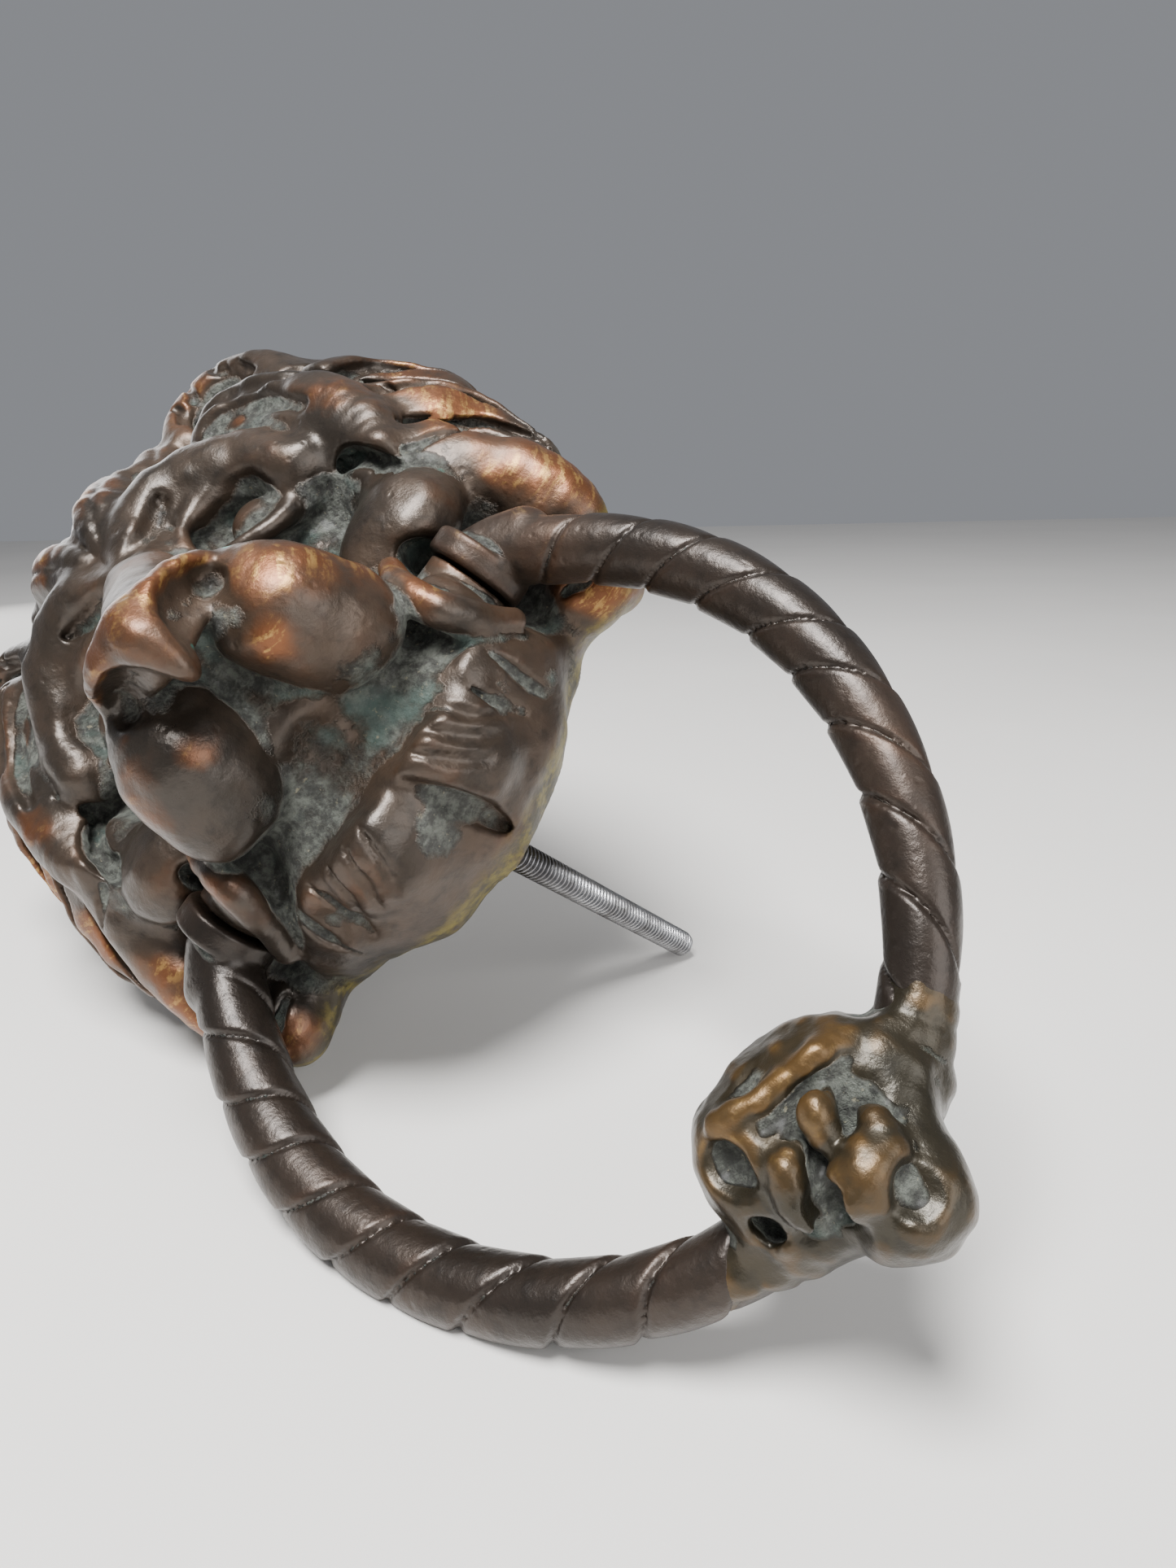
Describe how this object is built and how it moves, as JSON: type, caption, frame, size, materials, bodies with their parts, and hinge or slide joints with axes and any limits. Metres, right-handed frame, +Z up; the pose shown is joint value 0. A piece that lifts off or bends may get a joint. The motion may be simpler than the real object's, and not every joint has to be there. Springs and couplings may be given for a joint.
{
  "type": "door knocker",
  "caption": "Cast lion-head door knocker: hollow-backed head, twisted-rope ring hinged at the mouth corners, striker lump and threaded fixing stud.",
  "frame": {"origin": "axis of the fixing stud where it crosses the door face, which is the plane of the head's back rim", "axes": "+X to the right as seen from the room facing the lion, +Y into the door along the stud, +Z up"},
  "size_m": [0.1604, 0.1563, 0.2575],
  "materials": {
    "head_bronze": "dark brown patinated bronze, red-brown where worn, grey-green in the creases",
    "ring_bronze": "dark brown patinated bronze with scratches and a little verdigris",
    "striker_bronze": "patinated bronze rubbed to a dull gold on the high spots",
    "pin_steel": "plain steel, dull",
    "stud_steel": "grey threaded steel, slightly darkened"
  },
  "bodies": {
    "head": {"head_casting": "head_bronze", "mounting_stud": "stud_steel"},
    "ring": {"rope_ring": "ring_bronze", "striker": "striker_bronze", "left_pivot_pin": "pin_steel", "right_pivot_pin": "pin_steel"}
  },
  "joints": [
    {"name": "ring_swing", "type": "hinge", "parent": "head", "child": "ring", "pos_m": [0, -0.027, 0.0225], "axis": [-1, 0, 0], "range_deg": [0, 118]}
  ]
}
